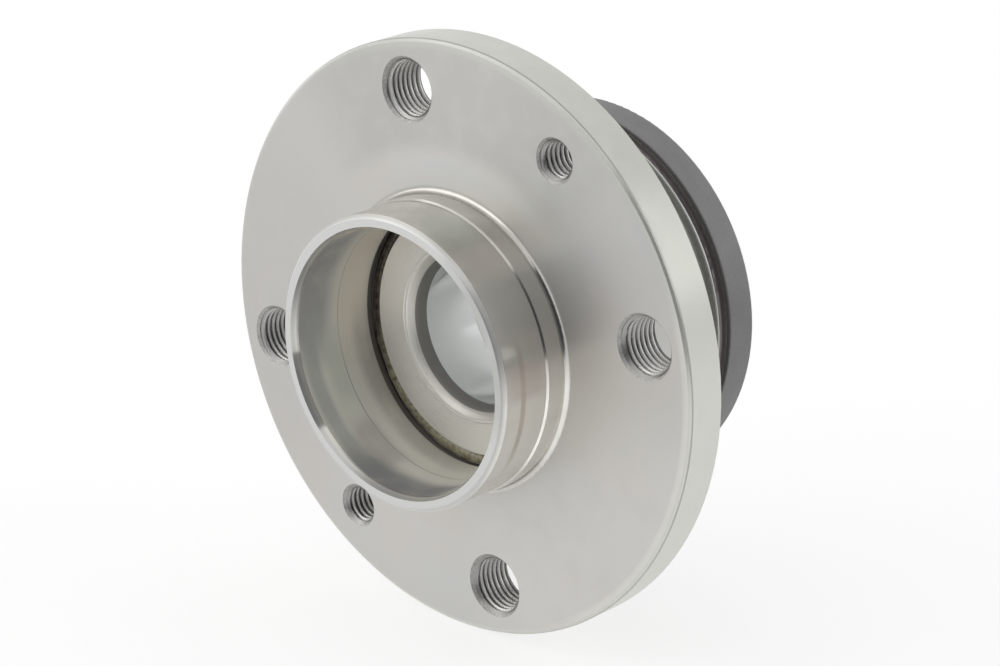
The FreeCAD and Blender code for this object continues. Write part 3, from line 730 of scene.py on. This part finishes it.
# %% Plain finishes
def plain_finish(name, colour, worn, roughness, metallic, grain_mm, bump_mm, sheen=0.0):
    """Simple material with grain, uneven gloss and rings about the axis."""
    material, tree, output = new_material(name)
    place = turned_place(tree)
    grain = cloud_noise(tree, place, grain_mm, detail=5.0)
    rings = ring_noise(tree, place, 2.0, detail=2.0, wander=1.0)
    cloud = cloud_noise(tree, place, 14.0)
    mixed = calculate(tree, "MULTIPLY_ADD", grain, 0.5, calculate(tree, "MULTIPLY", cloud, 0.5))
    shade = blend_colours(tree, ramp(tree, mixed, 0.35, 0.7), colour, worn)
    rough = calculate(tree, "MULTIPLY_ADD", rings, 0.12, roughness - 0.06)
    height = calculate(tree, "MULTIPLY_ADD", rings, 0.5, grain)
    bump = add(tree, "Bump", {"Height": height, "Strength": 0.4, "Distance": bump_mm * MM})
    shader = add(tree, "BsdfPrincipled", {
        "Base Color": shade, "Metallic": metallic, "Roughness": rough, "Coat Weight": sheen,
        "Normal": bump.outputs["Normal"]})
    tree.links.new(shader.outputs["BSDF"], output.inputs["Surface"])
    return material


finishes.update({
    "ball_steel": plain_finish("ball_polished_steel", (0.62, 0.62, 0.62, 1), (0.56, 0.57, 0.58, 1),
                               0.10, 1.0, 1.5, 0.002),
    "clip_steel": plain_finish("clip_spring_steel", (0.42, 0.42, 0.42, 1), (0.5, 0.49, 0.47, 1),
                               0.34, 1.0, 0.5, 0.01),
    "cage_plastic": plain_finish("cage_moulded_plastic", (0.42, 0.34, 0.22, 1), (0.5, 0.42, 0.29, 1),
                                 0.5, 0.0, 0.6, 0.03),
    "seal_steel": plain_finish("seal_pressed_steel", (0.45, 0.45, 0.45, 1), (0.52, 0.51, 0.49, 1),
                               0.32, 1.0, 0.8, 0.01),
    "seal_rubber": plain_finish("seal_greasy_rubber", (0.035, 0.028, 0.022, 1), (0.075, 0.06, 0.042, 1),
                                0.42, 0.0, 0.4, 0.03, 0.4),
    "carrier_steel": plain_finish("carrier_phosphated_steel", (0.19, 0.186, 0.187, 1),
                                  (0.24, 0.235, 0.235, 1), 0.48, 0.5, 0.3, 0.012),
    "encoder_rubber": plain_finish("encoder_magnet_rubber", (0.018, 0.018, 0.019, 1),
                                   (0.03, 0.029, 0.029, 1), 0.55, 0.0, 0.5, 0.02),
})
slots = {part["node"]: part["material_slot"] for part in frame["record"]["subparts"]}
for name, piece in frame["nodes"].items():
    piece.material_slots[0].material = finishes[slots[name]]
print("dressed", len(slots), "pieces in", len(finishes), "finishes")

# %% [markdown]
# ## Cut threads
#
# The frame's tapped holes are smooth at the thread's outer diameter. An internal thread is a ridge
# that winds round inside the hole. Its section is a blunt triangle of 60 degrees: a quarter of the
# pitch wide at the crest and an eighth at the root.
#
# A spin that also moves along its axis makes a helix. One pitch of the section is spun through
# several turns, and because each turn ends where the next one starts, merging doubles joins them.
# The ends are cut flat, the countersink is copied by pushing the crests out to its cone, and a
# smooth outer wall closes the sleeve so that it is a solid like any other piece.

# %% The thread's section
THREAD_PITCH = 1.25 * MM
THREAD_DEPTH = 0.5413 * THREAD_PITCH
CREST_SHARE = 0.25
ROOT_SHARE = 0.125
FLANK_STEPS = 4
TURN_STEPS = 56
ROOT_GAP = 0.03 * MM


def thread_section(hole_radius):
    """Points (radius, place along the hole) of one pitch, from root to root."""
    flank = THREAD_PITCH * (1 - CREST_SHARE - ROOT_SHARE) / 2
    outer = hole_radius - ROOT_GAP
    inner = hole_radius - THREAD_DEPTH
    corners = [(outer, 0), (outer, ROOT_SHARE * THREAD_PITCH),
               (inner, ROOT_SHARE * THREAD_PITCH + flank),
               (inner, THREAD_PITCH - flank), (outer, THREAD_PITCH)]
    points = [corners[0]]
    for start, end, steps in zip(corners, corners[1:], (1, FLANK_STEPS, 2, FLANK_STEPS)):
        for i in range(1, steps + 1):
            share = i / steps
            points.append(tuple(a + (b - a) * share for a, b in zip(start, end)))
    return points


print("thread depth", round(THREAD_DEPTH / MM, 3), "mm in", len(thread_section(BOLT_RADIUS)), "points")


# %% Wind, cut and close a thread
def cut_end(bm, y, keep_above):
    """Cuts the sleeve flat and drops what lies beyond."""
    geometry = bm.verts[:] + bm.edges[:] + bm.faces[:]
    bmesh.ops.bisect_plane(bm, geom=geometry, plane_co=(0, y, 0), plane_no=AXIS,
                           clear_inner=keep_above, clear_outer=not keep_above)


def push_to_cone(bm, sink, hole_radius):
    """Moves crests that stand inside the countersinks out to their cones."""
    for vert in bm.verts:
        radius = math.hypot(vert.co.x, vert.co.z)
        from_face = min(vert.co.y, FLANGE_THICKNESS - vert.co.y)
        cone = min(hole_radius + sink - from_face, hole_radius)
        if radius < cone:
            vert.co.x *= cone / radius
            vert.co.z *= cone / radius


def wind_thread(bm, hole_radius, sink):
    """Helical wall of a thread about the Y axis, cut flat at both ends."""
    turns = math.ceil(FLANGE_THICKNESS / THREAD_PITCH) + 2
    section = thread_section(hole_radius)
    chain = [bm.verts.new((radius, y - 2 * THREAD_PITCH, 0)) for radius, y in section]
    edges = [bm.edges.new(pair) for pair in zip(chain, chain[1:])]
    bmesh.ops.spin(bm, geom=chain + edges, cent=(0, 0, 0), axis=AXIS, angle=2 * math.pi * turns,
                   dvec=AXIS * (THREAD_PITCH / TURN_STEPS), steps=TURN_STEPS * turns, use_merge=False)
    bmesh.ops.remove_doubles(bm, verts=bm.verts[:], dist=THREAD_PITCH / 1000)
    cut_end(bm, sink, True)
    cut_end(bm, FLANGE_THICKNESS - sink, False)
    push_to_cone(bm, sink, hole_radius)


def close_sleeve(bm, hole_radius):
    """Closes a thread's wall into a solid sleeve that is buried in the steel."""
    rims = [edge for edge in bm.edges if edge.is_boundary]
    grown = bmesh.ops.extrude_edge_only(bm, edges=rims)["geom"]
    for vert in [item for item in grown if isinstance(item, bmesh.types.BMVert)]:
        radius = math.hypot(vert.co.x, vert.co.z)
        vert.co.x *= (hole_radius + ROOT_GAP) / radius
        vert.co.z *= (hole_radius + ROOT_GAP) / radius
    outer = [item for item in grown if isinstance(item, bmesh.types.BMEdge) and item.is_boundary]
    bmesh.ops.bridge_loops(bm, edges=outer)


print("a thread is wound, cut and closed in three steps")


# %% Make the six threads
BOLT_STARTS = (-63, 66, -9, -98)
SCREW_STARTS = (-32, -121)


def finish_piece(bm, name, material, body, smooth_degrees=35):
    """Turns a bmesh into an object that rides on a body."""
    bmesh.ops.remove_doubles(bm, verts=bm.verts[:], dist=0.0005 * MM)
    bmesh.ops.recalc_face_normals(bm, faces=bm.faces[:])
    mesh = bpy.data.meshes.new(name)
    bm.to_mesh(mesh)
    bm.free()
    mesh.materials.append(material)
    mesh.shade_smooth()
    mesh.set_sharp_from_angle(angle=math.radians(smooth_degrees))
    piece = bpy.data.objects.new(name, mesh)
    bpy.context.scene.collection.objects.link(piece)
    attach(piece, body)
    return piece


def threads(name, circle, hole_radius, start_angle, sink, turned):
    """One thread in each hole of a pattern, each turned by its own angle in degrees."""
    count = len(turned)
    material = thread_steel(name + "_steel", circle, start_angle, count, hole_radius, THREAD_DEPTH)
    for i in range(count):
        angle = start_angle + 2 * math.pi * i / count
        bm = bmesh.new()
        wind_thread(bm, hole_radius, sink)
        close_sleeve(bm, hole_radius)
        bmesh.ops.rotate(bm, verts=bm.verts[:], matrix=Matrix.Rotation(-math.radians(turned[i]), 3, "Y"))
        bmesh.ops.translate(bm, verts=bm.verts[:],
                            vec=(circle * math.cos(angle), 0, circle * math.sin(angle)))
        open_edges = sum(edge.is_boundary for edge in bm.edges)
        piece = finish_piece(bm, f"{name}_{i + 1}", material, "hub")
        print(piece.name, "faces", len(piece.data.polygons), "open edges", open_edges)


threads("bolt_thread", BOLT_CIRCLE, BOLT_RADIUS, FIRST_HOLE_ANGLE, BOLT_SINK, BOLT_STARTS)
threads("screw_thread", SCREW_CIRCLE, SCREW_RADIUS, FIRST_SCREW_ANGLE, SCREW_SINK, SCREW_STARTS)

# %% [markdown]
# ## Grease at the seal
#
# Some grease always creeps past a new seal and gathers in the corner between the ring and the
# rubber. It is a dark bead, thicker at the bottom and olive on its lower left, with lumps. A ring
# spun from a small circle gives the bead, and noise moves its points in and out. Its points are kept
# off the inner ring, which stands still while the bead turns with the hub.

# %% The grease bead
GREASE_RADIUS = RING_RADIUS + 1.15 * MM
GREASE_DEPTH = RING_FACE + 0.75 * MM
GREASE_THICKNESS = 0.5 * MM
GREASE_SPREAD = 2.1
GREASE_SECTION = 16
GREASE_STEPS = 288
GREASE_SIZE = 0.85
GREASE_SAG = 0.3
LARGE_LUMP, LARGE_LUMP_SIZE = 0.25, 3.1 * MM
SMALL_LUMP, SMALL_LUMP_SIZE = 0.16, 1.4 * MM
RING_CLEARANCE = 0.08 * MM
OLD_GREASE = (0.035, 0.025, 0.018, 1)
OLD_GREASE_THIN = (0.10, 0.075, 0.05, 1)
OLIVE_GREASE = (0.16, 0.14, 0.085, 1)
OLIVE_GREASE_THIN = (0.40, 0.37, 0.26, 1)


def grease_bead():
    """Lumpy ring of grease on the seal, clear of the inner ring."""
    bm = bmesh.new()
    section = bmesh.ops.create_circle(bm, segments=GREASE_SECTION, radius=GREASE_THICKNESS)["verts"]
    bmesh.ops.scale(bm, verts=section, vec=(GREASE_SPREAD, 1, 1))
    bmesh.ops.translate(bm, verts=section, vec=(GREASE_RADIUS, GREASE_DEPTH, 0))
    bmesh.ops.spin(bm, geom=bm.verts[:] + bm.edges[:], cent=(0, 0, 0), axis=AXIS,
                   angle=2 * math.pi, steps=GREASE_STEPS, use_merge=True)
    for vert in bm.verts:
        outward = Vector((vert.co.x, 0, vert.co.z)).normalized()
        middle = outward * GREASE_RADIUS + AXIS * GREASE_DEPTH
        lump = noise.noise(vert.co / LARGE_LUMP_SIZE) * LARGE_LUMP
        lump += noise.noise(vert.co / SMALL_LUMP_SIZE) * SMALL_LUMP
        sag = GREASE_SIZE - GREASE_SAG * outward.z
        vert.co = middle + (vert.co - middle) * (sag + lump)
        radius = math.hypot(vert.co.x, vert.co.z)
        limit = max(radius, RING_RADIUS + RING_CLEARANCE)
        vert.co.x *= limit / radius
        vert.co.z *= limit / radius
    return bm


def grease_material():
    """Dull olive-brown grease with a wet shine."""
    material, tree, output = new_material("grease_olive")
    place = turned_place(tree)
    cloud = cloud_noise(tree, place, 1.1, detail=6.0)
    dark = blend_colours(tree, ramp(tree, cloud, 0.35, 0.65), OLD_GREASE, OLD_GREASE_THIN)
    light = blend_colours(tree, ramp(tree, cloud, 0.3, 0.6), OLIVE_GREASE, OLIVE_GREASE_THIN)
    colour = blend_colours(tree, facing(tree, place, 245, 42, 20), dark, light)
    bump = add(tree, "Bump", {"Height": cloud, "Strength": 0.7, "Distance": 0.12 * MM})
    shader = add(tree, "BsdfPrincipled", {"Base Color": colour, "Roughness": 0.28,
                                          "Normal": bump.outputs["Normal"]})
    tree.links.new(shader.outputs["BSDF"], output.inputs["Surface"])
    return material


bead = finish_piece(grease_bead(), "grease_bead", grease_material(), "hub", 180)
print(bead.name, "faces", len(bead.data.polygons))

# %% [markdown]
# ## Floor and light
#
# The object stands on a pale floor in a plain studio. A camera sees the floor as white because the
# floor adds some white of its own for the rays that the camera, reflections and glass see. What is
# left of its colour still takes the shadow. The sky does the same.
#
# Metal shows its surroundings, so the surroundings need some shape: large soft lamps that are not
# much brighter than the sky give gentle steps in the reflections, as the white tent of a product
# studio does.

# %% Floor
FLOOR_SIZE = 6.0
FLOOR_COLOUR = (0.8, 0.8, 0.8, 1)
SHADOW_COLOUR = (0.32, 0.32, 0.32, 1)
WHITE = (1, 1, 1, 1)
FLOOR_GLOW = 0.73


def seen_directly(tree):
    """1 for rays from the camera, reflections and glass, and 0 for the rest."""
    path = add(tree, "LightPath")
    seen = calculate(tree, "MAXIMUM", path.outputs["Is Camera Ray"], path.outputs["Is Glossy Ray"])
    return calculate(tree, "MAXIMUM", seen, path.outputs["Is Transmission Ray"])


def make_floor():
    """Large pale floor under the object, white to the camera and grey in the shadow."""
    material, tree, output = new_material("studio_floor")
    plain = add(tree, "BsdfDiffuse", {"Color": FLOOR_COLOUR})
    shadow = add(tree, "BsdfDiffuse", {"Color": SHADOW_COLOUR})
    glow = add(tree, "Emission", {"Color": WHITE, "Strength": FLOOR_GLOW})
    white = add(tree, "AddShader", {0: shadow.outputs[0], 1: glow.outputs[0]})
    mix = add(tree, "MixShader", {0: seen_directly(tree), 1: plain.outputs[0], 2: white.outputs[0]})
    tree.links.new(mix.outputs[0], output.inputs["Surface"])
    bm = bmesh.new()
    bmesh.ops.create_grid(bm, x_segments=8, y_segments=8, size=FLOOR_SIZE)
    bmesh.ops.translate(bm, verts=bm.verts[:], vec=(0, 0, cad_low.z))
    mesh = bpy.data.meshes.new("studio_floor")
    bm.to_mesh(mesh)
    bm.free()
    mesh.materials.append(material)
    floor = bpy.data.objects.new("studio_floor", mesh)
    bpy.context.scene.collection.objects.link(floor)
    return floor


print("floor at", round(make_floor().data.vertices[0].co.z / MM, 2), "mm")


# %% Sky and lamps
SKY_LIGHT = 0.78


def make_sky():
    """Even pale sky, white where it is seen."""
    world = bpy.data.worlds.new("studio_sky")
    world.use_nodes = True
    tree = world.node_tree
    tree.nodes.clear()
    output = add(tree, "OutputWorld")
    plain = add(tree, "Background", {"Color": WHITE, "Strength": SKY_LIGHT})
    white = add(tree, "Background", {"Color": WHITE, "Strength": 1.0})
    mix = add(tree, "MixShader", {0: seen_directly(tree), 1: plain.outputs[0], 2: white.outputs[0]})
    tree.links.new(mix.outputs[0], output.inputs["Surface"])
    bpy.context.scene.world = world
    return world


def make_lamp(name, degrees_round, degrees_up, distance, size, brightness):
    """Square soft lamp that points at the object. Brightness 1 looks as white as the sky."""
    turn, lift = math.radians(degrees_round), math.radians(degrees_up)
    place = distance * Vector((math.sin(turn) * math.cos(lift), -math.cos(turn) * math.cos(lift),
                               math.sin(lift)))
    data = bpy.data.lights.new(name, "AREA")
    data.shape = "SQUARE"
    data.size = size
    data.energy = brightness * math.pi * size * size
    lamp = bpy.data.objects.new(name, data)
    bpy.context.scene.collection.objects.link(lamp)
    lamp.location = place
    lamp.rotation_euler = place.to_track_quat("Z", "Y").to_euler()
    return lamp


make_sky()
lamps = [
    make_lamp("key_lamp", -42, 26, 1.4, 1.2, 1.15),
    make_lamp("side_lamp", 118, 30, 1.5, 0.9, 1.1),
]
print("lamps:", [lamp.name for lamp in lamps])

# %% [markdown]
# ## The dark cloth
#
# The photographer's white surroundings have a dark opening, where the camera looks in. Polished steel
# shows it: as a dark line on each edge that faces the camera, and as a shade on the right side of the
# collar. Without it the metal looks like plastic. Here it is a grey cloth behind the camera. Camera
# rays pass through it, so that it doesn't stand in the picture when the object is seen from behind.

# %% Cloth behind the camera
CLOTH_RADIUS = 0.64
CLOTH_FROM = math.radians(22)
CLOTH_TO = math.radians(102)
CLOTH_TOP_FROM = math.radians(41)
CLOTH_TOP_TO = math.radians(58)
CLOTH_STEPS = 24
CLOTH_GREY = (0.055, 0.057, 0.064, 1)


def make_cloth():
    """Dark curved cloth that stands on the floor round the camera, higher towards the right."""
    material, tree, output = new_material("studio_cloth")
    grey = add(tree, "Emission", {"Color": CLOTH_GREY, "Strength": 1.0})
    clear = add(tree, "BsdfTransparent")
    path = add(tree, "LightPath")
    seen = path.outputs["Is Camera Ray"]
    mix = add(tree, "MixShader", {0: seen, 1: grey.outputs[0], 2: clear.outputs[0]})
    tree.links.new(mix.outputs[0], output.inputs["Surface"])
    bm = bmesh.new()
    start = Vector((math.sin(CLOTH_FROM), -math.cos(CLOTH_FROM), 0)) * CLOTH_RADIUS
    post = [bm.verts.new(start), bm.verts.new(start + Vector((0, 0, 1)))]
    rail = bm.edges.new(post)
    bmesh.ops.spin(bm, geom=post + [rail], cent=(0, 0, 0), axis=(0, 0, 1), angle=CLOTH_TO - CLOTH_FROM,
                   steps=CLOTH_STEPS, use_merge=False)
    for vert in bm.verts:
        turn = math.atan2(vert.co.x, -vert.co.y)
        share = (turn - CLOTH_FROM) / (CLOTH_TO - CLOTH_FROM)
        lift = CLOTH_TOP_FROM + (CLOTH_TOP_TO - CLOTH_TOP_FROM) * share
        vert.co.z = CLOTH_RADIUS * math.tan(lift) if vert.co.z > 0.5 else cad_low.z
    mesh = bpy.data.meshes.new("studio_cloth")
    bm.to_mesh(mesh)
    bm.free()
    mesh.materials.append(material)
    cloth = bpy.data.objects.new("studio_cloth", mesh)
    bpy.context.scene.collection.objects.link(cloth)
    return cloth


print("cloth with", len(make_cloth().data.vertices), "corners behind the camera")

# %% [markdown]
# ## The frame's size
#
# The size of the bare frame is printed. Looks never change a part's dimensions.

# %% The bare frame's size
print("bare", [round(c / MM, 2) for c in cad_high - cad_low])
